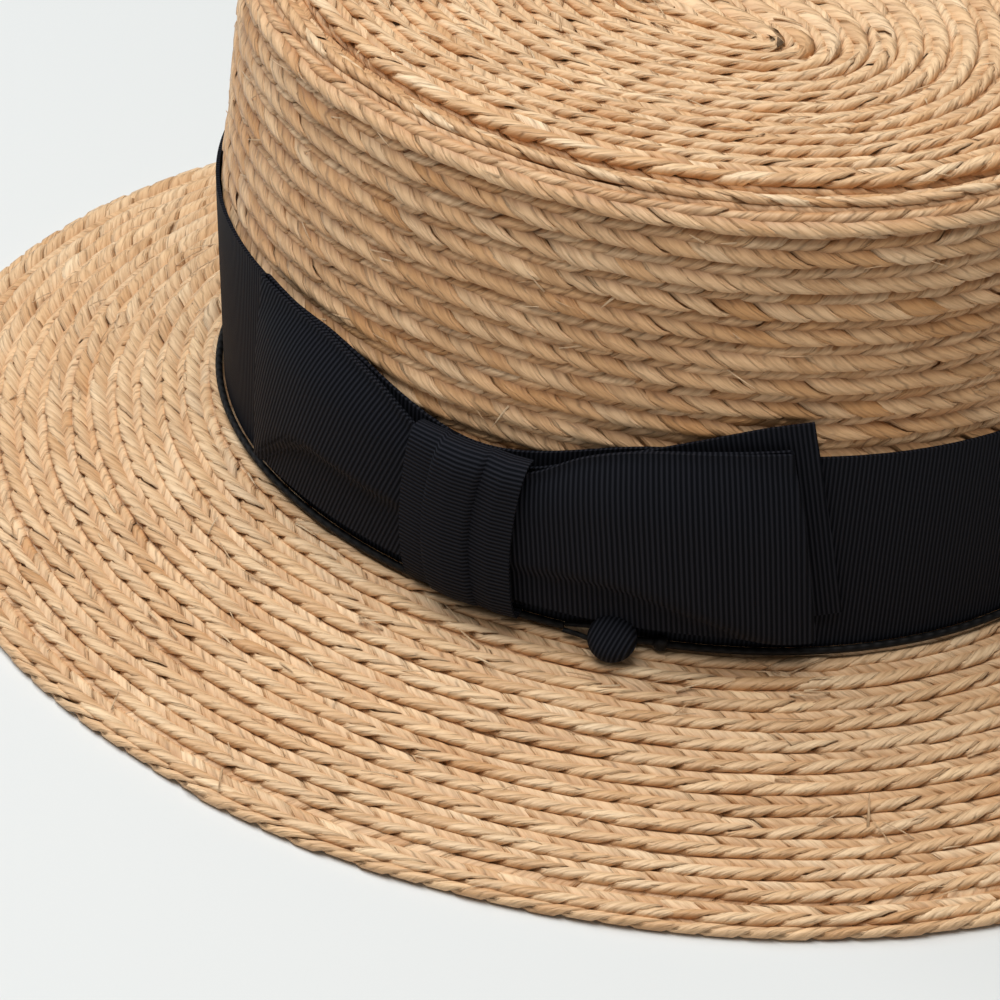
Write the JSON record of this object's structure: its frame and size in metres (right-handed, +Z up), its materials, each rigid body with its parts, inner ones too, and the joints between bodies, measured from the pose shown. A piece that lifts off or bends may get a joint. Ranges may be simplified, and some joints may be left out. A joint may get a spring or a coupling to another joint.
{
  "type": "straw boater hat",
  "caption": "Oval plaited-straw boater hat with a flat-topped crown, sloping brim, ribbed ribbon band with a flat side bow, and a thin cord with a covered button.",
  "frame": {"origin": "on the surface that the brim stands on, under the middle of the hat", "axes": "+Z up out of the tip of the crown, -Y towards the wearer's front, +X towards the wearer's left, where the bow is"},
  "size_m": [0.3134, 0.3416, 0.13],
  "materials": {
    "straw": "matte plaited raffia straw",
    "ribbon": "black ribbed ribbon with a faint sheen",
    "cord": "black round cord"
  },
  "bodies": {
    "root": {"crown": "straw", "brim": "straw", "hat_band": "ribbon", "bow_left_loop": "ribbon", "bow_right_loop": "ribbon", "bow_back_loop": "ribbon", "bow_knot": "ribbon", "wind_cord": "cord", "cord_button": "ribbon", "button_loop": "cord"}
  },
  "joints": []
}
